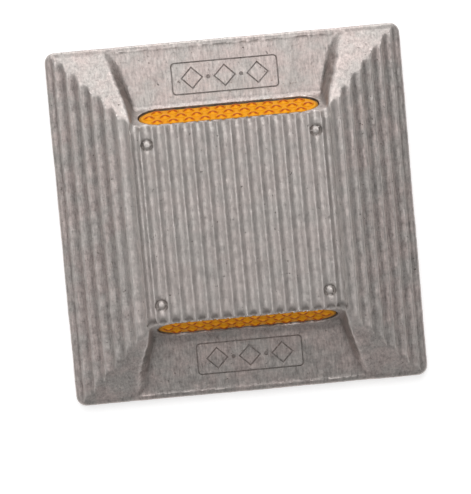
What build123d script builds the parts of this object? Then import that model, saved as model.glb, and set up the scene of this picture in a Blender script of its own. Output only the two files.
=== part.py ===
from build123d import *

import os
from math import asin, atan2, cos, degrees, radians, sin, tan

# Square ribbed road stud: a die-cast aluminium body with an amber glass-bead reflector in each end.

# Body envelope. X runs across the lane, Y along it, Z up from the road. Millimetres throughout.
body_width = 100.0
body_length = 100.0
body_height = 20.0
corner_radius = 3.0
lip_ledge = 2.1
lip_round = 1.2

# Flat top that the four slopes run up to.
plateau_width = 55.0
plateau_length = 54.4

# Anti-skid ribs, which run along Y over the top and down both sides.
rib_pitch = 3.57
rib_crest = 0.95
flute_depth = 0.7
slope_rib_pitch = 3.2

# Scallops that open each flute of the top over the lens wall.
scallop_radius = 1.25
scallop_tilt = 24.0
scallop_reach = 1.4
scallop_length = 6.0

# Troughs in the two ends, in front of the lenses.
wall_angle = 68.0
wall_setback = 0.2
floor_fall = 1.6
cheek_gap = 1.2
cheek_splay = 2.9
mouth_splay = 6.8
flare_length = 4.9
mouth_margin = 0.5
cheek_draft = 8.0
wall_foot_radius = 2.6

# Lens window in the sloped wall, a slot with round ends, and the stack that fills its pocket.
window_length = 50.0
window_height = 10.8
window_drop = 1.7
window_sill = 1.09
lens_recess = 0.5
lens_thickness = 3.0
foil_thickness = 0.3
cover_thickness = 1.6
bond_thickness = 0.6
slot_clearance = 0.12

# Glass beads, set through the lens strip in three staggered rows two radii apart.
bead_rim = 0.45
bead_end_rim = 0.8
bead_clearance = 0.03
bead_dome = 0.65

# Rim of the back cover, which locates the foil.
cover_rim = 0.35

# Engraved frame and signs on each trough floor, and the pin marks on the top.
plaque_length = 30.0
plaque_height = 9.2
plaque_radius = 1.2
plaque_offset = 0.6
engraving_width = 0.5
engraving_depth = 0.4
diamond_size = 6.4
diamond_pitch = 9.2
dot_radius = 0.55
mark_radius = 1.5
mark_depth = 0.9
mark_setback = 4.9

# Cored underside: square glue cells under a skin that follows the outside.
cell_size = 7.6
cell_rib = 3.4
skin = 3.0
pocket_backing = 4.35
pocket_flank = 7.0

half_width = body_width / 2
half_length = body_length / 2
top_x = plateau_width / 2
top_y = plateau_length / 2
ledge_x = half_width - lip_ledge
ledge_y = half_length - lip_ledge
plateau_ribs = int(plateau_width / rib_pitch)
slope_flutes = int((ledge_x - top_x - rib_crest) / slope_rib_pitch)
window_radius = window_height / 2
window_top_z = body_height - window_drop
floor_foot_z = window_top_z - window_height * sin(radians(wall_angle)) - window_sill
lip_height = floor_foot_z - floor_fall
slope_rise = body_height - lip_height
wall_run = 1 / tan(radians(wall_angle))
wall_top_y = top_y - wall_setback
foot_y = wall_top_y + (body_height - floor_foot_z) * wall_run
floor_foot_width = window_length + 2 * cheek_gap
flare_start_width = floor_foot_width + 2 * cheek_splay
floor_mouth_width = floor_foot_width + 2 * mouth_splay
flare_start_y = ledge_y - flare_length
plaque_centre_y = (foot_y + ledge_y) / 2 - plaque_offset
mark_x = (plateau_ribs - 2) / 2 * rib_pitch
mark_y = wall_top_y - mark_setback
bead_radius = (window_radius - bead_rim) / 3
bead_row_spacing = 2 * bead_radius
bead_pitch = 8 / 3 * bead_radius
bead_count = int((window_length - 2 * bead_radius - 2 * bead_end_rim) / bead_pitch) + 1
bead_rows = (("upper", 1, bead_count - 1), ("middle", 0, bead_count), ("lower", -1, bead_count - 1))
dome_radius = (bead_radius**2 + bead_dome**2) / (2 * bead_dome)
dome_half_angle = asin(bead_radius / dome_radius) / 2
dome_shoulder = (
    dome_radius * sin(dome_half_angle),
    lens_thickness + bead_dome - dome_radius * (1 - cos(dome_half_angle)),
)
window_mid_z = window_top_z - window_radius * sin(radians(wall_angle))
window_mid_y = wall_top_y + (body_height - window_mid_z) * wall_run
floor_angle = degrees(atan2(floor_foot_z - lip_height, ledge_y - foot_y))
foil_depth = lens_recess + lens_thickness
cover_depth = foil_depth + foil_thickness
bond_depth = cover_depth + cover_thickness
pocket_depth = bond_depth + bond_thickness
pocket_back_y = wall_top_y + window_drop * wall_run - pocket_depth * sin(radians(wall_angle))
pocket_keep_y = pocket_back_y - pocket_backing
pocket_keep_width = window_length + 2 * pocket_flank
pocket_floor_roof = lip_height / 2
cell_pitch = cell_size + cell_rib
cells_across = int((body_width - cell_rib) / cell_pitch)
cells_along = int((body_length - cell_rib) / cell_pitch)
strip_length = window_length - 2 * slot_clearance
strip_height = window_height - 2 * slot_clearance
diamond_side = diamond_size / 2**0.5
diamond_hole = diamond_side - 2 * engraving_width
foil_length = strip_length - 2 * (cover_rim + slot_clearance)
foil_height = strip_height - 2 * (cover_rim + slot_clearance)
sides = (("front", -1), ("rear", 1))


# The lens wall of one end, X across it and Y up it, moved in by depth.
def wall_plane(facing, depth=0.0):
    normal = Vector(0, facing * sin(radians(wall_angle)), cos(radians(wall_angle)))
    middle = Vector(0, facing * window_mid_y, window_mid_z)
    return Plane(origin=middle - normal * depth, x_dir=(-facing, 0, 0), z_dir=normal)


# The trough floor of one end, with its origin under the middle of the plaque.
def floor_plane(facing):
    height = lip_height + (ledge_y - plaque_centre_y) * tan(radians(floor_angle))
    tilt = radians(floor_angle)
    normal = (0, facing * sin(tilt), cos(tilt))
    return Plane(origin=(0, facing * plaque_centre_y, height), x_dir=(-facing, 0, 0), z_dir=normal)


# A point on the ribbed slope at x, moved in by sunk square to the slope.
def slope_point(x, sunk=0.0):
    tilt = atan2(slope_rise, ledge_x - top_x)
    side = 1 if x > 0 else -1
    z = body_height - (abs(x) - top_x) * tan(tilt)
    return (x - side * sunk * sin(tilt), z - sunk * cos(tilt))


# A point on the flat top at x, moved in by sunk.
def top_point(x, sunk=0.0):
    return (x, body_height - sunk)


# One hollow flute from start to end, on the surface that place gives.
def draw_flute(place, start, end):
    ThreePointArc(place(start), place((start + end) / 2, flute_depth), place(end))


# The ribbed side slope, from the shoulder down to the lip.
def draw_slope(side):
    shoulder = side * top_x
    inner = side * (top_x + rib_crest / 2)
    Line((shoulder, body_height), slope_point(inner))
    for flute in range(slope_flutes):
        crest = top_x + slope_rib_pitch * (flute + 1)
        start = side * (crest - slope_rib_pitch + rib_crest / 2)
        end = side * (crest - rib_crest / 2)
        draw_flute(slope_point, start, end)
        Line(slope_point(end), slope_point(side * (crest + rib_crest / 2)))
    last = side * (top_x + slope_rib_pitch * slope_flutes + rib_crest / 2)
    foot = side * ledge_x
    ThreePointArc(slope_point(last), slope_point((last + foot) / 2, flute_depth / 2), slope_point(foot))
    Line(slope_point(foot), (foot, 0))


# Half of the trough's plan, with its cheek moved out by spread.
def draw_trough_plan(spread):
    inner = (floor_foot_width / 2 + spread, foot_y)
    waist = (flare_start_width / 2 + spread, flare_start_y)
    mouth = (floor_mouth_width / 2 + spread, ledge_y + mouth_margin)
    run = (waist[0] - inner[0], waist[1] - inner[1])
    back = (inner[0] - run[0], inner[1] - run[1])
    Line(back, waist)
    TangentArc(waist, mouth, tangent=run)
    Polyline(mouth, (0, mouth[1]), (0, back[1]), back)


# Whether a level edge lies on the body's outline, its rounded corners included.
def on_outline(edge):
    middle = edge @ 0.5
    corner = half_width - corner_radius
    past_x = abs(middle.X) - corner
    past_y = abs(middle.Y) - (half_length - corner_radius)
    if past_x > 0 and past_y > 0:
        return abs(Vector(past_x, past_y).length - corner_radius) < 0.01
    return abs(max(past_x, past_y) - corner_radius) < 0.01


# The middle of the scallop that lets one flute of the top run out over the lens wall.
def scallop_centre(x, facing):
    tilt = radians(scallop_tilt)
    start = Vector(x, facing * (wall_top_y - scallop_reach), body_height - flute_depth)
    return start + Vector(0, facing * sin(tilt), cos(tilt)) * scallop_radius


# The tool that hollows one trough: its plan, widening upwards, cut to its side view.
with BuildPart() as trough:
    for height in (0, 2 * body_height):
        with BuildSketch(Plane.XY.offset(height)):
            with BuildLine():
                draw_trough_plan((height - floor_foot_z) * tan(radians(cheek_draft)))
            make_face()
            mirror(about=Plane.YZ)
    loft(ruled=True)
    with BuildSketch(Plane.YZ):
        with BuildLine():
            Polyline(
                (foot_y, floor_foot_z),
                (ledge_y, lip_height),
                (ledge_y, 2 * body_height),
                (foot_y - (2 * body_height - floor_foot_z) * wall_run, 2 * body_height),
                close=True,
            )
        make_face()
    extrude(amount=body_width, both=True, mode=Mode.INTERSECT)
    floor = trough.faces().sort_by(Axis.Z)[0]
    fillet(floor.edges().sort_by(Axis.Y)[0], wall_foot_radius)

# The void under the body: the outside moved in by the skin, kept clear of the lens pockets,
# and cut into square cells.
with BuildPart() as glue_cells:
    with BuildSketch(Plane.XZ):
        with BuildLine():
            Polyline(
                (-ledge_x, lip_height - skin - flute_depth),
                (-top_x, body_height - skin - flute_depth),
                (top_x, body_height - skin - flute_depth),
                (ledge_x, lip_height - skin - flute_depth),
                (ledge_x, -skin),
                (-ledge_x, -skin),
                close=True,
            )
        make_face()
    extrude(amount=half_length, both=True)
    with BuildSketch(Plane.YZ):
        with BuildLine():
            Polyline(
                (-ledge_y, lip_height - skin - flute_depth),
                (-top_y, body_height - skin - flute_depth),
                (top_y, body_height - skin - flute_depth),
                (ledge_y, lip_height - skin - flute_depth),
                (ledge_y, -skin),
                (-ledge_y, -skin),
                close=True,
            )
        make_face()
    extrude(amount=half_width, both=True, mode=Mode.INTERSECT)
    with Locations(*[(0, facing * (pocket_keep_y + half_length), pocket_floor_roof) for _, facing in sides]):
        Box(
            pocket_keep_width, body_length, body_height, mode=Mode.SUBTRACT,
            align=(Align.CENTER, Align.CENTER, Align.MIN),
        )
    with BuildSketch(Plane.XY.offset(-skin)):
        with GridLocations(cell_pitch, cell_pitch, cells_across, cells_along):
            Rectangle(cell_size, cell_size)
    extrude(amount=body_height + skin, mode=Mode.INTERSECT)

# The aluminium body: the ribbed section along Y, trimmed by the plain end slopes.
with BuildPart() as body_casting:
    with BuildSketch(Plane.XZ):
        with BuildLine():
            draw_slope(-1)
            draw_slope(1)
            first_rib = -rib_pitch * (plateau_ribs - 1) / 2
            crests = [first_rib + rib_pitch * rib for rib in range(plateau_ribs)]
            crests = [-top_x, *crests, top_x]
            for left, right in zip(crests, crests[1:]):
                draw_flute(top_point, left + rib_crest / 2, right - rib_crest / 2)
            for crest in crests[1:-1]:
                Line(top_point(crest - rib_crest / 2), top_point(crest + rib_crest / 2))
            for side in (-1, 1):
                Line(top_point(side * top_x), top_point(side * (top_x - rib_crest / 2)))
            Line((-ledge_x, 0), (ledge_x, 0))
        make_face()
    extrude(amount=ledge_y, both=True)
    with BuildSketch(Plane.YZ):
        with BuildLine():
            Polyline(
                (-ledge_y, 0),
                (-ledge_y, lip_height),
                (-top_y, body_height),
                (top_y, body_height),
                (ledge_y, lip_height),
                (ledge_y, 0),
                close=True,
            )
        make_face()
    extrude(amount=half_width, both=True, mode=Mode.INTERSECT)
    with BuildSketch(Plane.XY):
        RectangleRounded(body_width, body_length, corner_radius)
    extrude(amount=lip_height)
    level = body_casting.edges().filter_by_position(Axis.Z, lip_height, lip_height)
    fillet([edge for edge in level if on_outline(edge)], lip_round)
    for _, facing in sides:
        add(trough.part, rotation=(0, 0, 90 - 90 * facing), mode=Mode.SUBTRACT)
        with BuildSketch(wall_plane(facing)):
            SlotOverall(window_length, window_height)
        extrude(amount=-pocket_depth, mode=Mode.SUBTRACT)
        with BuildSketch(floor_plane(facing)):
            RectangleRounded(plaque_length, plaque_height, plaque_radius)
            offset(amount=-engraving_width, mode=Mode.SUBTRACT)
            with GridLocations(diamond_pitch, 1, 3, 1):
                Rectangle(diamond_side, diamond_side, rotation=45)
                Rectangle(diamond_hole, diamond_hole, rotation=45, mode=Mode.SUBTRACT)
            with GridLocations(diamond_pitch, 1, 2, 1):
                Circle(dot_radius)
        extrude(amount=-engraving_depth, mode=Mode.SUBTRACT)
        scallops = [scallop_centre((left + right) / 2, facing) for left, right in zip(crests, crests[1:])]
        with Locations(*scallops):
            Cylinder(
                scallop_radius,
                scallop_length,
                rotation=(-facing * (90 + scallop_tilt), 0, 0),
                mode=Mode.SUBTRACT,
            )
    with BuildSketch(Plane.XY.offset(body_height)):
        with GridLocations(2 * mark_x, 2 * mark_y, 2, 2):
            Circle(mark_radius)
            Circle(mark_radius - engraving_width, mode=Mode.SUBTRACT)
    extrude(amount=-mark_depth, mode=Mode.SUBTRACT)
    add(glue_cells.part, mode=Mode.SUBTRACT)
body_casting.part.label = "body_casting"
os.makedirs("parts", exist_ok=True)
export_step(body_casting.part, "parts/body_casting.step")

# One glass bead, standing on its flat back: a short cylinder under a dome.
with BuildPart() as bead:
    with BuildSketch(Plane.XZ):
        with BuildLine():
            Polyline((0, lens_thickness + bead_dome), (0, 0), (bead_radius, 0), (bead_radius, lens_thickness))
            ThreePointArc((bead_radius, lens_thickness), dome_shoulder, (0, lens_thickness + bead_dome))
        make_face()
    revolve(axis=Axis.Z)

for side, facing in sides:
    # Amber strip that holds the beads, with a hole for each.
    with BuildPart() as lens_strip:
        with BuildSketch(wall_plane(facing, lens_recess)):
            SlotOverall(strip_length, strip_height)
            for _, row, count in bead_rows:
                with Locations((0, row * bead_row_spacing)):
                    with GridLocations(bead_pitch, 1, count, 1):
                        Circle(bead_radius + bead_clearance, mode=Mode.SUBTRACT)
        extrude(amount=-lens_thickness)
    lens_strip.part.label = f"{side}_lens_strip"
    export_step(lens_strip.part, f"parts/{side}_lens_strip.step")

    # Glass beads, one node for each row.
    for name, row, count in bead_rows:
        with BuildPart() as beads:
            with Locations(wall_plane(facing, foil_depth).location * Pos(0, row * bead_row_spacing, 0)):
                with GridLocations(bead_pitch, 1, count, 1):
                    add(bead.part)
        beads.part.label = f"{side}_beads_{name}"
        export_step(beads.part, f"parts/{side}_beads_{name}.step")

    # Mirror foil behind the beads, inside the rim of the back cover.
    with BuildPart() as mirror_foil:
        with BuildSketch(wall_plane(facing, foil_depth)):
            SlotOverall(foil_length, foil_height)
        extrude(amount=-foil_thickness)
    mirror_foil.part.label = f"{side}_mirror_foil"
    export_step(mirror_foil.part, f"parts/{side}_mirror_foil.step")

    with BuildPart() as back_cover:
        with BuildSketch(wall_plane(facing, cover_depth)):
            SlotOverall(strip_length, strip_height)
        extrude(amount=-cover_thickness)
        with BuildSketch(wall_plane(facing, foil_depth)):
            SlotOverall(strip_length, strip_height)
            SlotOverall(
                foil_length + 2 * slot_clearance,
                foil_height + 2 * slot_clearance,
                mode=Mode.SUBTRACT,
            )
        extrude(amount=-foil_thickness)
    back_cover.part.label = f"{side}_back_cover"
    export_step(back_cover.part, f"parts/{side}_back_cover.step")

    # Cured adhesive that beds the lens unit on the floor of its pocket.
    with BuildPart() as bond_bed:
        with BuildSketch(wall_plane(facing, bond_depth)):
            SlotOverall(strip_length, strip_height)
        extrude(amount=-bond_thickness)
    bond_bed.part.label = f"{side}_bond_bed"
    export_step(bond_bed.part, f"parts/{side}_bond_bed.step")
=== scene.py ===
import math
import random

import bmesh
import bpy
import numpy as np
from mathutils import Matrix, Vector, kdtree


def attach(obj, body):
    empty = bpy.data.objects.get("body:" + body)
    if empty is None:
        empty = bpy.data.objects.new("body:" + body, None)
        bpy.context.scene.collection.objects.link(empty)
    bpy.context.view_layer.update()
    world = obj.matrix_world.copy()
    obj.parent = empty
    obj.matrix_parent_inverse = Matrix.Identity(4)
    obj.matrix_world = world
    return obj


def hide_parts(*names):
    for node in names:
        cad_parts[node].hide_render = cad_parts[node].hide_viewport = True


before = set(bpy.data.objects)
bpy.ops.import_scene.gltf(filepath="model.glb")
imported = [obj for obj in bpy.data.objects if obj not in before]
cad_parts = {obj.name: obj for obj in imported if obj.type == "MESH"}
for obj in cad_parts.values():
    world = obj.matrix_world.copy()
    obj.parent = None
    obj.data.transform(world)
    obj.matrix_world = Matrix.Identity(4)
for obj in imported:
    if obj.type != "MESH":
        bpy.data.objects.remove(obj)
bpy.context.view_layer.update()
mm = 0.001
facings = {"front": -1, "rear": 1}

# The stud's main sizes in millimetres. The slopes' foot, the ledge, stands 0.8 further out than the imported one.
stud = {
    "half": 50.0,
    "height": 20.0,
    "cornerRadius": 3.0,
    "lip": 5.6,
    "ledge": 48.7,
    "lipRound": 1.2,
    "baseRound": 0.4,
    "topX": 27.5,
    "topY": 27.2,
    "wallTopY": 27.0,
    "wallAngle": math.radians(68),
}
window = {"length": 50.0, "height": 10.8, "topZ": 18.3, "pocketDepth": 6.3, "pocketReach": 3.0, "sides": 48}

# How steeply the ribbed sides and the plain ends fall.
sideTilt = math.atan2(stud["height"] - stud["lip"], stud["ledge"] - stud["topX"])
endTilt = math.atan2(stud["height"] - stud["lip"], stud["ledge"] - stud["topY"])

# The lens wall of each end leans back from the floor of its trough.
wallRun = 1 / math.tan(stud["wallAngle"])
windowZ = window["topZ"] - window["height"] / 2 * math.sin(stud["wallAngle"])
windowY = stud["wallTopY"] + (stud["height"] - windowZ) * wallRun


# ---- modelling helpers

def deselectAll():
    if bpy.context.object and bpy.context.object.mode != "OBJECT":
        bpy.ops.object.mode_set(mode="OBJECT")
    bpy.ops.object.select_all(action="DESELECT")


def pick(*objects):
    deselectAll()
    for thing in objects:
        thing.select_set(True)
    bpy.context.view_layer.objects.active = objects[0]


def namePiece(name):
    piece = bpy.context.object
    piece.name = name
    piece.data.name = name
    return piece


def openMesh(piece, everything=False):
    pick(piece)
    bpy.ops.object.mode_set(mode="EDIT")
    bpy.ops.mesh.select_mode(type="VERT")
    bpy.ops.mesh.select_all(action="SELECT" if everything else "DESELECT")


def closeMesh():
    bpy.ops.object.mode_set(mode="OBJECT")


# Selects the points, or the edges whose two ends, pass a test on their place in millimetres.
def selectPoints(test):
    bpy.ops.mesh.select_mode(type="VERT")
    mesh = bmesh.from_edit_mesh(bpy.context.object.data)
    for point in mesh.verts:
        point.select = test(point.co / mm)
    mesh.select_flush_mode()
    bmesh.update_edit_mesh(bpy.context.object.data)


def selectEdges(test):
    bpy.ops.mesh.select_mode(type="EDGE")
    bpy.ops.mesh.select_all(action="DESELECT")
    mesh = bmesh.from_edit_mesh(bpy.context.object.data)
    for edge in mesh.edges:
        edge.select = test(*(point.co / mm for point in edge.verts))
    bmesh.update_edit_mesh(bpy.context.object.data)


def selectFaces(test):
    bpy.ops.mesh.select_mode(type="FACE")
    bpy.ops.mesh.select_all(action="DESELECT")
    mesh = bmesh.from_edit_mesh(bpy.context.object.data)
    for face in mesh.faces:
        face.select = test(face.calc_center_median() / mm, face.normal)
    bmesh.update_edit_mesh(bpy.context.object.data)


def applyModifier(piece, kind, **settings):
    pick(piece)
    modifier = piece.modifiers.new(kind.lower(), kind)
    for key, value in settings.items():
        setattr(modifier, key, value)
    bpy.ops.object.modifier_apply(modifier=modifier.name)


def combine(piece, tool, operation):
    applyModifier(piece, "BOOLEAN", operation=operation, object=tool, solver="MANIFOLD")
    bpy.data.objects.remove(tool)


def joinPieces(name, pieces):
    pick(*pieces)
    if len(pieces) > 1:
        bpy.ops.object.join()
    return namePiece(name)


def copyPiece(piece, name, move=(0, 0, 0), turn=0.0):
    twin = piece.copy()
    twin.data = piece.data.copy()
    twin.name = name
    twin.data.name = name
    bpy.context.scene.collection.objects.link(twin)
    twin.data.transform(Matrix.Translation(Vector(move) * mm) @ Matrix.Rotation(turn, 4, "Z"))
    return twin


def fixNormals(piece):
    openMesh(piece, everything=True)
    bpy.ops.mesh.remove_doubles(threshold=1e-6)
    bpy.ops.mesh.normals_make_consistent(inside=False)
    closeMesh()


# A face drawn as by hand: one vertex is extruded from point to point, then the loop is filled.
def drawOutline(name, points):
    deselectAll()
    bpy.ops.mesh.primitive_plane_add(size=mm, location=(0, 0, 0))
    piece = namePiece(name)
    openMesh(piece, everything=True)
    bpy.ops.mesh.merge(type="CENTER")
    bpy.ops.transform.translate(value=Vector(points[0]) * mm)
    for here, there in zip(points, points[1:]):
        move = (Vector(there) - Vector(here)) * mm
        bpy.ops.mesh.extrude_region_move(TRANSFORM_OT_translate={"value": move})
    bpy.ops.mesh.select_all(action="SELECT")
    bpy.ops.mesh.edge_face_add()
    closeMesh()
    return piece


def pullOut(piece, move):
    openMesh(piece, everything=True)
    bpy.ops.mesh.extrude_region_move(TRANSFORM_OT_translate={"value": Vector(move) * mm})
    closeMesh()
    fixNormals(piece)


# Cuts away what lies beyond a plane and closes the cut.
def trim(piece, point, normal):
    openMesh(piece, everything=True)
    bpy.ops.mesh.bisect(plane_co=Vector(point) * mm, plane_no=normal, use_fill=True, clear_outer=True)
    closeMesh()


def addBox(name, low, high):
    low, high = Vector(low), Vector(high)
    deselectAll()
    bpy.ops.mesh.primitive_cube_add(size=1, location=(0, 0, 0))
    piece = namePiece(name)
    openMesh(piece, everything=True)
    bpy.ops.transform.resize(value=(high - low) * mm, center_override=(0, 0, 0))
    bpy.ops.transform.translate(value=(high + low) / 2 * mm)
    closeMesh()
    return piece


# Stands a piece made flat at the origin on a surface of one end that leans by an angle, moved in by depth.
def standOn(piece, facing, angle, y, z, depth=0.0):
    out = Vector((0, facing * math.sin(angle), math.cos(angle)))
    across = Vector((-facing, 0, 0))
    turn = Matrix((across, out.cross(across), out)).transposed().to_4x4()
    middle = Vector((0, facing * y, z)) - out * depth
    piece.data.transform(Matrix.Translation(middle * mm) @ turn)


def toWall(piece, facing, depth=0.0):
    standOn(piece, facing, stud["wallAngle"], windowY, windowZ, depth)


# A block with round ends, its front at z = 0: a cylinder whose two halves are drawn apart.
def addSlot(name, length, height, depth):
    deselectAll()
    place = (0, 0, -depth / 2 * mm)
    bpy.ops.mesh.primitive_cylinder_add(
        vertices=window["sides"], radius=height / 2 * mm, depth=depth * mm, location=place)
    bpy.ops.object.transform_apply(location=True)
    slot = namePiece(name)
    openMesh(slot)
    for side in (-1, 1):
        selectPoints(lambda p: p.x * side > 0.01)
        bpy.ops.transform.translate(value=(side * (length - height) / 2 * mm, 0, 0))
    closeMesh()
    return slot


# ---- shader helpers

# Wraps a shader socket, so that sums and products on it add Math nodes.
class Shade:
    def __init__(self, tree, socket=None):
        self.tree = tree
        self.socket = socket

    def make(self, kind, settings, values, output=0):
        node = self.tree.nodes.new(kind)
        for key, value in settings.items():
            setattr(node, key, value)
        for key, value in values.items():
            if isinstance(value, Shade):
                self.tree.links.new(value.socket, node.inputs[key])
            else:
                node.inputs[key].default_value = value
        return Shade(self.tree, node.outputs[output])

    def math(self, operation, *values):
        return self.make("ShaderNodeMath", {"operation": operation}, dict(enumerate(values)))

    def __add__(self, other):
        return self.math("ADD", self, other)

    def __radd__(self, other):
        return self.math("ADD", other, self)

    def __sub__(self, other):
        return self.math("SUBTRACT", self, other)

    def __rsub__(self, other):
        return self.math("SUBTRACT", other, self)

    def __mul__(self, other):
        return self.math("MULTIPLY", self, other)

    def __rmul__(self, other):
        return self.math("MULTIPLY", other, self)

    def __truediv__(self, other):
        return self.math("DIVIDE", self, other)

    def __abs__(self):
        return self.math("ABSOLUTE", self)

    # 0 at low and 1 at high, with a soft start and end.
    def between(self, low, high):
        values = {"Value": self, "From Min": low, "From Max": high}
        return self.make("ShaderNodeMapRange", {"interpolation_type": "SMOOTHSTEP"}, values)

    # How far a value is from the nearest whole number of pitches.
    def fromNearest(self, pitch):
        return self.math("PINGPONG", self, pitch / 2)

    def blend(self, other, mask):
        return self.make("ShaderNodeMix", {"data_type": "RGBA"}, {0: mask, 6: self, 7: other}, output=2)

    def scaled(self, amount):
        return self.make("ShaderNodeVectorMath", {"operation": "SCALE"}, {0: self, "Scale": amount})

    def stretched(self, amounts):
        return self.make("ShaderNodeVectorMath", {"operation": "MULTIPLY"}, {0: self, 1: amounts})

    def noise(self, scale, detail=3.0, roughness=0.5, warp=0.0):
        values = {"Vector": self, "Scale": scale, "Detail": detail, "Roughness": roughness, "Distortion": warp}
        return self.make("ShaderNodeTexNoise", {}, values)

    def cells(self, scale, feature="F1"):
        return self.make("ShaderNodeTexVoronoi", {"feature": feature}, {"Vector": self, "Scale": scale})

    def axis(self, index):
        return self.make("ShaderNodeSeparateXYZ", {}, {0: self}, output=index)

    def colour(self, value):
        return self.make("ShaderNodeRGB", {}, {}).setTo(value)

    def setTo(self, value):
        self.socket.default_value = (*value, 1)
        return self


# A new material with its shader node and the piece's own coordinates in millimetres.
def startMaterial(name, constants):
    material = bpy.data.materials.new(name)
    material.use_nodes = True
    tree = material.node_tree
    shader = tree.nodes["Principled BSDF"]
    for key, value in constants.items():
        shader.inputs[key].default_value = value
    place = Shade(tree).make("ShaderNodeTexCoord", {}, {}, output=3).scaled(1 / mm)
    return material, shader, place


def connect(shader, **links):
    for key, shade in links.items():
        shade.tree.links.new(shade.socket, shader.inputs[key.replace("_", " ")])


# Height in millimetres becomes a bumped normal.
def bumped(height, strength=1.0):
    return height.make("ShaderNodeBump", {}, {"Height": height * mm, "Strength": strength, "Distance": 1.0})


def usePaint(piece, material):
    piece.data.materials.clear()
    piece.data.materials.append(material)


# ---- the casting

ribs = {
    "pitch": 3.57,
    "count": 15,
    "crest": 0.5,
    "topDepth": 0.62,
    "slopeDepth": 0.85,
    "slopePitch": 3.3,
    "slopeFlutes": 6,
    "steps": 8,
}
trough = {
    "footWidth": 26.2,
    "footZ": 7.2,
    "waistY": 43.0,
    "waistWidth": 29.1,
    "mouthY": 48.4,
    "mouthWidth": 33.0,
    "draft": 9.0,
    "mouthDraft": 62.0,
    "flareSteps": 8,
    "wallSteps": 5,
    "toolBottom": 4.0,
    "toolTop": 30.0,
    "footFillet": 1.7,
    "cheekFillet": 0.7,
    "filletSteps": 6,
    "softReach": 1.3,
    "softRounds": 26,
}
scallop = {"tilt": math.radians(30), "radius": 1.25, "reach": 1.5, "length": 6.0, "sides": 20}
plaque = {
    "length": 30.0,
    "height": 9.2,
    "radius": 1.2,
    "centreY": 39.43,
    "line": 0.4,
    "depth": 0.62,
    "grimeAndShade": -0.95,
    "diamond": 6.4,
    "pitch": 9.2,
    "dot": 0.6,
}
pinMark = {"radius": 1.6, "line": 0.55, "depth": 1.05, "x": 23.2, "y": 22.1}
grain = {
    "voxel": 0.25,
    "smoothRounds": 2,
    "lumps": ((0.5, 0.07), (2.2, 0.12), (11.0, 0.22)),
    "triangles": 165000,
    "reliefRounds": 14,
    "reliefSpan": 0.16,
    "smoothAngle": math.radians(38),
}
cells = {"size": 7.6, "pitch": 11.0, "count": 8, "skin": 3.7, "keepY": 17.5, "keepX": 32.0, "roof": 2.8}
nicks = {
    "count": 16,
    "size": 0.4,
    "seed": 7,
    "spread": 0.4,
    "reach": 25,
    "rise": 0.25,
    "widths": (0.6, 1.3),
    "lengths": (0.8, 2.6),
    "flatness": 0.9,
    "turn": 0.6,
}
footY = stud["wallTopY"] + (stud["height"] - trough["footZ"]) * wallRun
floorTilt = math.atan2(trough["footZ"] - stud["lip"], stud["ledge"] - footY)


# A place on the flat top or on a side slope, sunk square to the surface.
def topPlace(x, sunk=0.0):
    return (x, 0, stud["height"] - sunk)


def slopePlace(x, sunk=0.0):
    z = stud["height"] - (abs(x) - stud["topX"]) * math.tan(sideTilt)
    return (x - math.copysign(sunk, x) * math.sin(sideTilt), 0, z - sunk * math.cos(sideTilt))


# Points down one side of a flute and up the other.
def flutePoints(place, start, end, depth):
    shares = [k / ribs["steps"] for k in range(ribs["steps"] + 1)]
    return [place(start + (end - start) * t, depth * math.sin(math.pi * t) ** 0.9) for t in shares]


def ribCrests():
    first = -ribs["pitch"] * (ribs["count"] - 1) / 2
    return [-stud["topX"], *(first + ribs["pitch"] * k for k in range(ribs["count"])), stud["topX"]]


def fluteMiddles():
    crests = ribCrests()
    return [(left + right) / 2 for left, right in zip(crests, crests[1:])]


def ribSection():
    half = ribs["crest"] / 2
    right = []
    for k in range(ribs["slopeFlutes"]):
        crest = stud["topX"] + ribs["slopePitch"] * (k + 1)
        right += flutePoints(slopePlace, crest - ribs["slopePitch"] + half, crest - half, ribs["slopeDepth"])
    last = stud["topX"] + ribs["slopePitch"] * ribs["slopeFlutes"] + half
    right += [slopePlace(last), slopePlace((last + stud["ledge"]) / 2, ribs["slopeDepth"] / 2)]
    right += [(stud["ledge"], 0, stud["lip"]), (stud["ledge"], 0, 1)]
    left = [(-x, y, z) for x, y, z in reversed(right)]
    crests = ribCrests()
    top = []
    for start, end in zip(crests, crests[1:]):
        top += flutePoints(topPlace, start + half, end - half, ribs["topDepth"])
    return left + top + right


# The ribbed section is drawn once, pulled along the lane and trimmed by the two plain end slopes.
def makeHump():
    hump = drawOutline("hump", [(x, -stud["ledge"], z) for x, _, z in ribSection()])
    pullOut(hump, (0, 2 * stud["ledge"], 0))
    for facing in facings.values():
        trim(hump, (0, facing * stud["ledge"], stud["lip"]), (0, facing * math.sin(endTilt), math.cos(endTilt)))
    return hump


def makeSlab():
    half = stud["half"]
    slab = addBox("slab", (-half, -half, 0), (half, half, stud["lip"]))
    openMesh(slab)
    selectEdges(lambda a, b: abs(a.z - b.z) > 1)
    bpy.ops.mesh.bevel(offset=stud["cornerRadius"] * mm, segments=8, affect="EDGES")
    selectEdges(lambda a, b: min(a.z, b.z) > stud["lip"] - 0.01)
    bpy.ops.mesh.bevel(offset=stud["lipRound"] * mm, segments=5, affect="EDGES")
    selectEdges(lambda a, b: max(a.z, b.z) < 0.01)
    bpy.ops.mesh.bevel(offset=stud["baseRound"] * mm, segments=2, affect="EDGES")
    closeMesh()
    return slab


# Half the width of a trough's floor at a distance y from the middle, and how far its cheek leans back there.
def floorHalfWidth(y):
    splay = (trough["waistWidth"] - trough["footWidth"]) / (trough["waistY"] - footY)
    reach = trough["mouthY"] - trough["waistY"]
    flare = trough["mouthWidth"] - trough["waistWidth"] - splay * reach
    past = max(0, (y - trough["waistY"]) / reach)
    return trough["footWidth"] + splay * (y - footY) + flare * past**2


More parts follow.
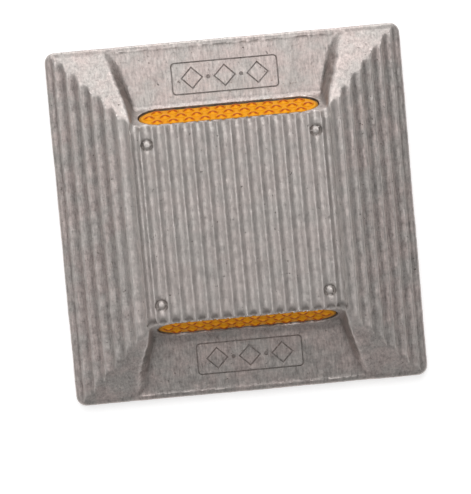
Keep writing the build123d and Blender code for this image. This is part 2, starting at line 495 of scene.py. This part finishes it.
def cheekLean(y):
    share = min(1, max(0, (y - footY) / (trough["mouthY"] - footY)))
    return math.tan(math.radians(trough["draft"] + (trough["mouthDraft"] - trough["draft"]) * share**1.8))


def floorHeight(y):
    return stud["lip"] + (stud["ledge"] - y) * math.tan(floorTilt)


# The shape that hollows the rear trough: steep cheeks at the lens wall, laid back and flared at the mouth.
def makeTroughTool():
    reach = trough["mouthY"] - trough["waistY"]
    stations = [footY - 12]
    stations += [footY + (trough["waistY"] - footY) * k / trough["wallSteps"] for k in range(trough["wallSteps"])]
    stations += [trough["waistY"] + reach * k / trough["flareSteps"] for k in range(trough["flareSteps"] + 1)]
    bottom, top = trough["toolBottom"], trough["toolTop"]
    right = [(floorHalfWidth(y), y, bottom) for y in stations]
    tool = drawOutline("troughTool", right + [(-x, y, z) for x, y, z in reversed(right)])
    pullOut(tool, (0, 0, top - bottom))
    openMesh(tool)
    for y in stations:
        for z in (bottom, top):
            selectPoints(lambda p: abs(p.z - z) < 0.1 and abs(p.y - y) < 0.01)
            grow = 1 + (z - floorHeight(y)) * cheekLean(y) / floorHalfWidth(y)
            bpy.ops.transform.resize(value=(grow, 1, 1), center_override=(0, 0, 0))
    closeMesh()
    trim(tool, (0, stud["ledge"], stud["lip"]), (0, -math.sin(floorTilt), -math.cos(floorTilt)))
    out = Vector((0, math.sin(stud["wallAngle"]), math.cos(stud["wallAngle"])))
    trim(tool, (0, footY, trough["footZ"]), -out)

    def onFloor(p):
        return abs(p.z - floorHeight(p.y)) < 0.02

    def onWall(p):
        return abs(p.y - footY - (trough["footZ"] - p.z) * wallRun) < 0.02

    def isFoot(a, b):
        return onFloor(a) and onFloor(b) and onWall(a) and onWall(b)

    def isCheek(a, b):
        onSide = a.x * b.x > 0 and min(a.y, b.y) < trough["mouthY"] - 0.1
        cheekCorner = onWall(a) and onWall(b) and abs(a.z - b.z) > 1
        return onSide and (cheekCorner or onFloor(a) and onFloor(b))

    openMesh(tool)
    selectEdges(isFoot)
    bpy.ops.mesh.bevel(offset=trough["footFillet"] * mm, segments=trough["filletSteps"], affect="EDGES")
    selectEdges(isCheek)
    bpy.ops.mesh.bevel(offset=trough["cheekFillet"] * mm, segments=3, affect="EDGES")
    closeMesh()
    fixNormals(tool)
    return tool


# One round cutter for each flute, tilted so that the flute runs out over the lens wall.
def makeScallopTool(facing):
    deselectAll()
    bpy.ops.mesh.primitive_cylinder_add(
        vertices=scallop["sides"], radius=scallop["radius"] * mm, depth=scallop["length"] * mm)
    first = namePiece("scallop")
    openMesh(first, everything=True)
    angle = facing * (math.pi / 2 + scallop["tilt"])
    bpy.ops.transform.rotate(value=angle, orient_axis="X", center_override=(0, 0, 0))
    closeMesh()
    start = Vector((0, facing * (stud["wallTopY"] - scallop["reach"]), stud["height"] - ribs["topDepth"]))
    start += Vector((0, facing * math.sin(scallop["tilt"]), math.cos(scallop["tilt"]))) * scallop["radius"]
    cutters = [copyPiece(first, "scallop", move=start + Vector((x, 0, 0))) for x in fluteMiddles()]
    bpy.data.objects.remove(first)
    return joinPieces("scallops", cutters)


# A closed groove: a flat outline made a frame by inset, then pulled down into a cutter.
def makeGroove(name, sides, length, height, line, depth, corner=0.0, turn=0.0):
    deselectAll()
    bpy.ops.mesh.primitive_circle_add(vertices=sides, radius=0.5 * mm, fill_type="NGON")
    piece = namePiece(name)
    openMesh(piece, everything=True)
    if sides == 4:
        bpy.ops.transform.rotate(value=math.pi / 4 + turn, orient_axis="Z", center_override=(0, 0, 0))
    across = (length, height) if sides > 4 else (length * 2**0.5, height * 2**0.5)
    bpy.ops.transform.resize(value=(across[0], across[1], 1), center_override=(0, 0, 0))
    if corner:
        bpy.ops.mesh.bevel(offset=corner * mm, segments=5, affect="VERTICES")
        bpy.ops.mesh.select_all(action="SELECT")
    bpy.ops.mesh.inset(thickness=line * mm)
    bpy.ops.mesh.delete(type="FACE")
    bpy.ops.mesh.select_all(action="SELECT")
    bpy.ops.transform.translate(value=(0, 0, -depth * mm))
    bpy.ops.mesh.extrude_region_move(TRANSFORM_OT_translate={"value": (0, 0, (depth + 2) * mm)})
    closeMesh()
    fixNormals(piece)
    return piece


# The engraved frame of one trough floor, with three outlined diamonds and two dots in it.
def makePlaqueTool(facing):
    tools = [makeGroove(
        "plaque", 4, plaque["length"], plaque["height"], plaque["line"], plaque["depth"], corner=plaque["radius"])]
    side = plaque["diamond"] / 2**0.5
    diamond = makeGroove("diamond", 4, side, side, plaque["line"], plaque["depth"], turn=math.pi / 4)
    for k in (-1, 0, 1):
        tools.append(copyPiece(diamond, "diamond", move=(k * plaque["pitch"], 0, 0)))
    bpy.data.objects.remove(diamond)
    for k in (-0.5, 0.5):
        deselectAll()
        bpy.ops.mesh.primitive_cylinder_add(
            vertices=12, radius=plaque["dot"] * mm, depth=2 * plaque["depth"] * mm,
            location=(k * plaque["pitch"] * mm, 0, 0))
        bpy.ops.object.transform_apply(location=True)
        tools.append(namePiece("dot"))
    tool = joinPieces("plaqueTool", tools)
    # The grooves carry a deep-hollow relief value, so the metal paints them dark: painted shade in the grooves,
    # with some grime.
    grimeAndShade = tool.data.attributes.new("relief", "FLOAT", "POINT")
    grimeAndShade.data.foreach_set("value", [plaque["grimeAndShade"]] * len(tool.data.vertices))
    standOn(tool, facing, floorTilt, plaque["centreY"], floorHeight(plaque["centreY"]))
    return tool


def makePinMarks():
    size = 2 * pinMark["radius"]
    first = makeGroove("mark", 24, size, size, pinMark["line"], pinMark["depth"])
    marks = []
    for x in (-pinMark["x"], pinMark["x"]):
        for y in (-pinMark["y"], pinMark["y"]):
            marks.append(copyPiece(first, "mark", move=(x, y, stud["height"])))
    bpy.data.objects.remove(first)
    return joinPieces("pinMarks", marks)


# Small knocks on the crests of the ribs and along the edges of the flat top.
def makeNicks():
    draw = random.Random(nicks["seed"])
    deselectAll()
    bpy.ops.mesh.primitive_ico_sphere_add(subdivisions=2, radius=nicks["size"] * mm)
    first = namePiece("nick")
    crests = ribCrests()
    knocks = []
    for _ in range(nicks["count"]):
        x = draw.choice(crests) + draw.uniform(-nicks["spread"], nicks["spread"])
        place = Vector((x, draw.uniform(-nicks["reach"], nicks["reach"]), stud["height"] + nicks["rise"]))
        knock = copyPiece(first, "nick")
        stretch = (draw.uniform(*nicks["widths"]), draw.uniform(*nicks["lengths"]), nicks["flatness"], 1)
        turn = Matrix.Rotation(draw.uniform(-nicks["turn"], nicks["turn"]), 4, "Z")
        knock.data.transform(Matrix.Translation(place * mm) @ turn @ Matrix.Diagonal(stretch))
        knocks.append(knock)
    bpy.data.objects.remove(first)
    return joinPieces("nicks", knocks)


# Stores how far each point of the dense mesh stands out of the surface round it, from -1 to 1.
def measureRelief(piece):
    mesh = piece.data
    count = len(mesh.vertices)
    place = np.empty(count * 3)
    mesh.vertices.foreach_get("co", place)
    place = place.reshape(-1, 3)
    normal = np.empty(count * 3)
    mesh.vertices.foreach_get("normal", normal)
    normal = normal.reshape(-1, 3)
    ends = np.empty(len(mesh.edges) * 2, dtype=np.int64)
    mesh.edges.foreach_get("vertices", ends)
    a, b = ends[0::2], ends[1::2]
    neighbours = np.bincount(ends, minlength=count)
    smooth = place.copy()
    for _ in range(grain["reliefRounds"]):
        for axis in range(3):
            line = smooth[:, axis]
            total = np.bincount(a, line[b], count) + np.bincount(b, line[a], count)
            smooth[:, axis] = (line + total / neighbours) / 2
    height = ((place - smooth) * normal).sum(axis=1) / (grain["reliefSpan"] * mm)
    return place, np.clip(height, -1, 1)


def storeRelief(piece, places, values):
    tree = kdtree.KDTree(len(places))
    for index, place in enumerate(places):
        tree.insert(place, index)
    tree.balance()
    attribute = piece.data.attributes.new("relief", "FLOAT", "POINT")
    found = [values[tree.find(point.co)[1]] for point in piece.data.vertices]
    attribute.data.foreach_set("value", np.array(found, dtype=np.float32))


# Square cells under a roof that follows the outside, kept shallow below the lens pockets.
def makeCellTool():
    top = stud["height"] - cells["skin"]
    roof = addBox("cellRoof", (-stud["ledge"], -stud["ledge"], -1), (stud["ledge"], stud["ledge"], top))
    for side in (-1, 1):
        trim(roof, (side * stud["topX"], 0, top), (side * math.sin(sideTilt), 0, math.cos(sideTilt)))
        trim(roof, (0, side * stud["topY"], top), (0, side * math.sin(endTilt), math.cos(endTilt)))
    for side in (-1, 1):
        near, far = sorted((side * cells["keepY"], side * (stud["half"] + 5)))
        keep = addBox("keep", (-cells["keepX"], near, cells["roof"]), (cells["keepX"], far, stud["height"]))
        combine(roof, keep, "DIFFERENCE")
    half = cells["size"] / 2
    first = addBox("cell", (-half, -half, -1), (half, half, stud["height"]))
    middle = (cells["count"] - 1) / 2
    steps = [(k - middle) * cells["pitch"] for k in range(cells["count"])]
    grid = joinPieces("cells", [copyPiece(first, "cell", move=(x, y, 0)) for x in steps for y in steps])
    bpy.data.objects.remove(first)
    combine(grid, roof, "INTERSECT")
    return grid


def makeCasting():
    body = makeHump()
    combine(body, makeSlab(), "UNION")
    rearTool = makeTroughTool()
    frontTool = copyPiece(rearTool, "frontTool", turn=math.pi)
    combine(body, rearTool, "DIFFERENCE")
    combine(body, frontTool, "DIFFERENCE")
    for facing in facings.values():
        combine(body, makeScallopTool(facing), "DIFFERENCE")
        depth = window["pocketDepth"] + window["pocketReach"]
        pocket = addSlot("pocket", window["length"], window["height"], depth)
        toWall(pocket, facing, depth=-window["pocketReach"])
        combine(body, pocket, "DIFFERENCE")
    combine(body, makePinMarks(), "DIFFERENCE")
    combine(body, makeNicks(), "DIFFERENCE")
    print("solid body", len(body.data.polygons))
    return body


# The brows of the trough cheeks are worn round: the dense mesh is smoothed along them.
def softenBrows(body):
    fall = (stud["height"] - stud["lip"]) / (stud["ledge"] - stud["topY"])
    openMesh(body)

    def onBrow(p):
        y = abs(p.y)
        slopeZ = stud["height"] - (y - stud["topY"]) * fall
        if y < stud["topY"] or abs(p.z - slopeZ) > trough["softReach"]:
            return False
        edge = floorHalfWidth(y) + (slopeZ - floorHeight(y)) * cheekLean(y)
        return abs(abs(p.x) - edge) < trough["softReach"]

    selectPoints(onBrow)
    bpy.ops.mesh.vertices_smooth(factor=0.5, repeat=trough["softRounds"])
    closeMesh()


# The crisp solid takes the skin of a sand-free die casting: softened edges, a fine grain and low waves.
def roughenCasting(body):
    applyModifier(body, "REMESH", mode="VOXEL", voxel_size=grain["voxel"] * mm)
    applyModifier(body, "SMOOTH", factor=0.5, iterations=grain["smoothRounds"])
    softenBrows(body)
    for size, depth in grain["lumps"]:
        cloud = bpy.data.textures.new("lumps", "CLOUDS")
        cloud.noise_scale = size * mm
        cloud.noise_depth = 1
        applyModifier(body, "DISPLACE", texture=cloud, texture_coords="LOCAL", strength=depth * mm, mid_level=1.0)
    print("dense body", len(body.data.polygons))
    relief = measureRelief(body)
    applyModifier(body, "TRIANGULATE")
    share = grain["triangles"] / len(body.data.polygons)
    applyModifier(body, "DECIMATE", decimate_type="COLLAPSE", ratio=share)
    storeRelief(body, *relief)
    for facing in facings.values():
        combine(body, makePlaqueTool(facing), "DIFFERENCE")
    combine(body, makeCellTool(), "DIFFERENCE")
    pick(body)
    bpy.ops.object.shade_smooth_by_angle(angle=grain["smoothAngle"])
    print("finished body", len(body.data.polygons))


# The grime colour paints real dirt together with painted shade in creases and grooves. The worn grey paints worn
# metal together with a painted highlight on the crests.
metal = {
    "pinkGrey": (0.492, 0.424, 0.402),
    "coolGrey": (0.450, 0.418, 0.397),
    "wornAndHighlightGrey": (0.69, 0.642, 0.612),
    "grimeAndShade": (0.17, 0.148, 0.135),
    "pit": (0.10, 0.085, 0.075),
    "polishStart": 13.0,
    "frontShadeFromMiddle": (25.2, 26.7),
    "frontShadeHeights": (18.2, 18.8),
}


def paintMetal():
    material, shader, place = startMaterial("castAluminium", {"Metallic": 0.88, "IOR": 1.45})
    relief = place.make("ShaderNodeAttribute", {"attribute_name": "relief"}, {}, output=2)
    broad = place.noise(0.13, detail=4, roughness=0.6).between(0.38, 0.64)
    patches = place.noise(0.34, detail=5, roughness=0.65).between(0.35, 0.68)
    fine = place.noise(1.5, detail=4, roughness=0.75)
    streaks = place.stretched((1.7, 0.34, 1.7)).noise(1.0, detail=4, roughness=0.75)
    specks = place.noise(1.0, detail=3, roughness=0.6).between(0.67, 0.74)
    scratches = place.stretched((0.9, 0.13, 0.9)).noise(2.2, detail=1, warp=1.5)
    hairlines = 1 - abs(scratches - 0.5).between(0.0, 0.006)
    # Crests: worn metal together with a painted highlight along the ridges.
    crestWearAndHighlight = relief.between(0.08, 0.7)
    # Deep creases: real dirt together with painted shade.
    creaseDirtAndShade = 1 - relief.between(-1.0, -0.45)
    # Painted shade: the colour is darkened wherever the surface lies below the surface round it.
    hollowShade = 1 - relief.between(-0.4, 0.1)
    polish = place.axis(2).between(metal["polishStart"], stud["height"])
    # Painted shadow at the front end of the flat top, in the hollows where the flutes run out over the lens wall.
    frontEndShade = (0 - place.axis(1)).between(*metal["frontShadeFromMiddle"]) * place.axis(2).between(*metal["frontShadeHeights"])
    colour = place.colour(metal["pinkGrey"]).blend(place.colour(metal["coolGrey"]), broad)
    colour = colour.scaled(0.88 + 0.2 * patches - 0.12 * hollowShade + 0.8 * (fine - 0.5) + 1.4 * (streaks - 0.5))
    colour = colour.blend(place.colour(metal["wornAndHighlightGrey"]), polish * (0.2 + 0.5 * streaks))
    # Grime colour over the deep creases: dirt together with painted shade.
    colour = colour.blend(place.colour(metal["grimeAndShade"]), creaseDirtAndShade * (0.15 + 0.5 * patches))
    # Painted shadow over the front flute ends.
    colour = colour.blend(place.colour(metal["grimeAndShade"]), frontEndShade * hollowShade * 0.75)
    # Lighter crests: worn metal with a painted highlight.
    colour = colour.blend(place.colour(metal["wornAndHighlightGrey"]), crestWearAndHighlight * (0.25 + 0.75 * streaks))
    colour = colour.blend(place.colour(metal["wornAndHighlightGrey"]), hairlines * 0.3 * patches)
    colour = colour.blend(place.colour(metal["pit"]), specks * 0.7)
    rough = 0.42 + 0.2 * (fine - 0.5) + 0.10 * patches + 0.15 * creaseDirtAndShade - 0.12 * crestWearAndHighlight + 0.15 * specks
    height = 0.045 * fine + 0.07 * streaks - 0.10 * specks - 0.02 * hairlines
    connect(shader, Base_Color=colour, Roughness=rough, Normal=bumped(height, 0.9))
    return material


# ---- the lens units

lens = {
    "length": 49.76,
    "height": 10.56,
    "recess": 0.5,
    "thickness": 3.0,
    "edge": 0.25,
    "beadRadius": 1.65,
    "beadDome": 0.5,
    "beadPitch": 4.4,
    "rowSpacing": 3.3,
    "clearance": 0.03,
    "sides": 36,
    "rings": 28,
}
beadRows = {"upper": (1, 10), "middle": (0, 11), "lower": (-1, 10)}


def rowPlaces(count):
    return [(k - (count - 1) / 2) * lens["beadPitch"] for k in range(count)]


# A glass bead on its flat back: a sphere cut by a plane, its cut face pulled down into a short barrel.
def makeBead():
    radius = (lens["beadRadius"] ** 2 + lens["beadDome"] ** 2) / (2 * lens["beadDome"])
    deselectAll()
    bpy.ops.mesh.primitive_uv_sphere_add(
        segments=lens["sides"], ring_count=lens["rings"], radius=radius * mm, location=(0, 0, 0))
    bead = namePiece("bead")
    rim = radius - lens["beadDome"]
    trim(bead, (0, 0, rim), (0, 0, -1))
    openMesh(bead)
    selectFaces(lambda p, n: n.z < -0.9)
    move = (0, 0, -lens["thickness"] * mm)
    bpy.ops.mesh.extrude_region_move(TRANSFORM_OT_translate={"value": move})
    bpy.ops.mesh.select_all(action="SELECT")
    bpy.ops.transform.translate(value=(0, 0, -rim * mm))
    closeMesh()
    return bead


# The moulded strip: a round-ended plate with a hole for each bead.
def makeStrip(name, facing):
    strip = addSlot(name, lens["length"], lens["height"], lens["thickness"])
    openMesh(strip)
    selectEdges(lambda a, b: min(a.z, b.z) > -0.01)
    bpy.ops.mesh.bevel(offset=lens["edge"] * mm, segments=3, affect="EDGES")
    closeMesh()
    deselectAll()
    bpy.ops.mesh.primitive_cylinder_add(
        vertices=lens["sides"],
        radius=(lens["beadRadius"] + lens["clearance"]) * mm,
        depth=2 * lens["thickness"] * mm,
        location=(0, 0, -1.1 * lens["thickness"] * mm))
    bpy.ops.object.transform_apply(location=True)
    hole = namePiece("hole")
    openMesh(hole)
    selectFaces(lambda p, n: n.z > 0.9)
    bpy.ops.mesh.extrude_region_move(TRANSFORM_OT_translate={"value": (0, 0, mm)})
    closeMesh()
    holes = []
    for row, count in beadRows.values():
        holes += [copyPiece(hole, "hole", move=(x, row * lens["rowSpacing"], 0)) for x in rowPlaces(count)]
    bpy.data.objects.remove(hole)
    combine(strip, joinPieces("holes", holes), "DIFFERENCE")
    toWall(strip, facing, depth=lens["recess"])
    pick(strip)
    bpy.ops.object.shade_smooth_by_angle(angle=math.radians(30))
    return strip


def makeBeadRow(name, bead, facing, row, count):
    copies = [copyPiece(bead, name, move=(x, row * lens["rowSpacing"], 0)) for x in rowPlaces(count)]
    beads = joinPieces(name, copies)
    toWall(beads, facing, depth=lens["recess"])
    pick(beads)
    bpy.ops.object.shade_smooth_by_angle(angle=math.radians(40))
    return beads


amber = {
    "bright": (0.90, 0.37, 0.0),
    "deep": (0.80, 0.27, 0.0),
    # painted shade on the beads' outer edges
    "crescentShade": (0.44, 0.035, 0.0),
    "crescentUp": 0.65,
    "crescentRadius": 0.9,
    # painted shadow in the gap round the strip
    "gapShade": (0.035, 0.02, 0.008),
    "dust": (0.30, 0.20, 0.10),
}


# Height up the lens wall from the middle of its window.
def upWall(place, facing):
    y = (place.axis(1) - facing * windowY) * (-facing * math.cos(stud["wallAngle"]))
    return y + (place.axis(2) - windowZ) * math.sin(stud["wallAngle"])


def paintBead(name, facing, row, count):
    constants = {"Roughness": 0.35, "Specular IOR Level": 0.1, "IOR": 1.5}
    material, shader, place = startMaterial(name, constants)
    offset = 0.0 if count % 2 else lens["beadPitch"] / 2
    across = (place.axis(0) + offset).fromNearest(lens["beadPitch"])
    up = upWall(place, facing) - row * lens["rowSpacing"]
    reach = place.math("SQRT", across * across + up * up)
    # A dark red crescent on the outer side of each bead: painted shade at the dome's far edge.
    above = up - amber["crescentUp"]
    ring = place.math("SQRT", across * across + above * above) - amber["crescentRadius"]
    crescentShade = (1 - abs(ring).between(0.25, 0.65)) * (1 - above.between(-0.1, 0.4))
    cloudy = place.noise(0.8, detail=3)
    colour = place.colour(amber["bright"]).blend(place.colour(amber["deep"]), reach.between(0.9, 1.6) * 0.4)
    colour = colour.blend(place.colour(amber["crescentShade"]), crescentShade * 0.9)
    colour = colour.scaled(0.9 + 0.2 * cloudy)
    connect(shader, Base_Color=colour, Normal=bumped(0.01 * place.noise(3.0), 0.4))
    return material


def paintStrip(name, facing):
    material, shader, place = startMaterial(name, {"Specular IOR Level": 0.1, "IOR": 1.5})
    cloudy = place.noise(0.35, detail=3)
    dust = place.noise(2.4, detail=4, roughness=0.7).between(0.55, 0.75)
    past = place.math("MAXIMUM", abs(place.axis(0)) - (lens["length"] - lens["height"]) / 2, 0.0)
    up = upWall(place, facing)
    edge = place.math("SQRT", past * past + up * up) - lens["height"] / 2
    # The strip's edge is darkened where the gap round it lies in shadow, most on the outer side: painted shadow.
    outer = 1 - up.between(-3.0, -1.0)
    gapShade = edge.between(-0.95, -0.4) * (0.5 + 0.45 * outer)
    colour = place.colour(amber["bright"]).blend(place.colour(amber["deep"]), cloudy.between(0.4, 0.7) * 0.5)
    colour = colour.blend(place.colour(amber["dust"]), dust * 0.18)
    colour = colour.blend(place.colour(amber["gapShade"]), gapShade)
    rough = 0.28 + 0.2 * dust
    connect(shader, Base_Color=colour, Roughness=rough, Normal=bumped(0.02 * place.noise(1.6), 0.6))
    return material


# ---- the sealed pieces behind the lens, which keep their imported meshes

inside = {
    "foil": (0.88, 0.88, 0.86),
    "cover": ((0.045, 0.045, 0.05), (0.10, 0.095, 0.09)),
    "bond": ((0.42, 0.36, 0.24), (0.60, 0.55, 0.42)),
}


def paintFoil():
    material, shader, place = startMaterial("silverFoil", {"Metallic": 1.0})
    creases = place.noise(0.6, detail=5, roughness=0.6, warp=0.6)
    colour = place.colour(inside["foil"]).scaled(0.85 + 0.15 * creases)
    connect(shader, Base_Color=colour, Roughness=0.12 + 0.2 * creases, Normal=bumped(0.08 * creases))
    return material


def paintCover():
    material, shader, place = startMaterial("coverPlastic", {"IOR": 1.5})
    fine = place.noise(3.0, detail=4)
    broad = place.noise(0.25, detail=3)
    dark, pale = (place.colour(value) for value in inside["cover"])
    colour = dark.blend(pale, broad.between(0.35, 0.7))
    connect(shader, Base_Color=colour, Roughness=0.42 + 0.2 * fine, Normal=bumped(0.05 * fine))
    return material


def paintBond():
    material, shader, place = startMaterial("bondEpoxy", {"IOR": 1.5})
    lumps = place.noise(0.5, detail=4, warp=0.4)
    bubbles = place.cells(1.1).between(0.0, 0.35)
    dark, pale = (place.colour(value) for value in inside["bond"])
    colour = dark.blend(pale, lumps.between(0.35, 0.65))
    colour = colour.scaled(0.7 + 0.3 * bubbles)
    connect(shader, Base_Color=colour, Roughness=0.3 + 0.25 * lumps, Normal=bumped(0.12 * lumps + 0.06 * bubbles))
    return material


# ---- putting it together

def mount(piece, node):
    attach(piece, "root")
    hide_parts(node)


casting = makeCasting()
roughenCasting(casting)
casting.name = "bodyCasting"
usePaint(casting, paintMetal())
mount(casting, "body_casting")
print("casting done")

bead = makeBead()
for side, facing in facings.items():
    strip = makeStrip(f"{side}LensStrip", facing)
    usePaint(strip, paintStrip(f"{side}AmberPlastic", facing))
    mount(strip, f"{side}_lens_strip")
    for name, (row, count) in beadRows.items():
        beads = makeBeadRow(f"{side}Beads{name.capitalize()}", bead, facing, row, count)
        usePaint(beads, paintBead(f"{side}Glass{name.capitalize()}", facing, row, count))
        mount(beads, f"{side}_beads_{name}")
bpy.data.objects.remove(bead)
print("lens units done")

sealed = {"mirror_foil": paintFoil(), "back_cover": paintCover(), "bond_bed": paintBond()}
for side in facings:
    for name, material in sealed.items():
        usePaint(bpy.data.objects[f"{side}_{name}"], material)
print("sealed pieces painted")


# ---- the studio

studio = {
    "camera": (-0.0123, 0.0337, 0.6073),
    "cameraTurn": (-3.932, -1.406, -5.142),
    "lens": 156.6,
    "sensor": 36,
    "floor": (0.9, 0.9, 0.9),
    "floorGlow": 0.5,
    "world": 0.33,
    "lights": {
        "keyLight": {"place": (0.0, 1.0, 0.45), "size": 0.8, "power": 1.3},
        "lowLight": {"place": (0.04, 1.1, 0.20), "size": 0.5, "power": 3.3},
        "topLight": {"place": (-0.06, 0.36, 1.0), "size": 0.7, "power": 4.1},
        "sideLight": {"place": (-0.8, 0.15, 0.75), "size": 0.5, "power": 0.5},
    },
}


def makeStudio():
    deselectAll()
    bpy.ops.mesh.primitive_plane_add(size=4, location=(0, 0, 0))
    floor = namePiece("studioFloor")
    material, shader, place = startMaterial("paleFloor", {"Roughness": 0.9})
    shader.inputs["Base Color"].default_value = (*studio["floor"], 1)
    shader.inputs["Emission Color"].default_value = (1, 1, 1, 1)
    shader.inputs["Emission Strength"].default_value = studio["floorGlow"]
    usePaint(floor, material)
    bpy.ops.object.camera_add(location=studio["camera"])
    camera = bpy.context.object
    camera.rotation_euler = [math.radians(angle) for angle in studio["cameraTurn"]]
    camera.data.lens = studio["lens"]
    camera.data.sensor_width = studio["sensor"]
    camera.data.sensor_fit = "AUTO"
    bpy.context.scene.camera = camera
    for name, light in studio["lights"].items():
        bpy.ops.object.light_add(type="AREA", location=light["place"])
        lamp = bpy.context.object
        lamp.name = name
        lamp.data.size = light["size"]
        lamp.data.energy = light["power"]
        lamp.rotation_euler = (-Vector(light["place"])).to_track_quat("-Z", "Y").to_euler()
    world = bpy.data.worlds.new("studio")
    bpy.context.scene.world = world
    world.use_nodes = True
    sky = world.node_tree.nodes["Background"]
    sky.inputs["Color"].default_value = (1, 1, 1, 1)
    sky.inputs["Strength"].default_value = studio["world"]
    bpy.context.scene.view_settings.view_transform = "Standard"


makeStudio()
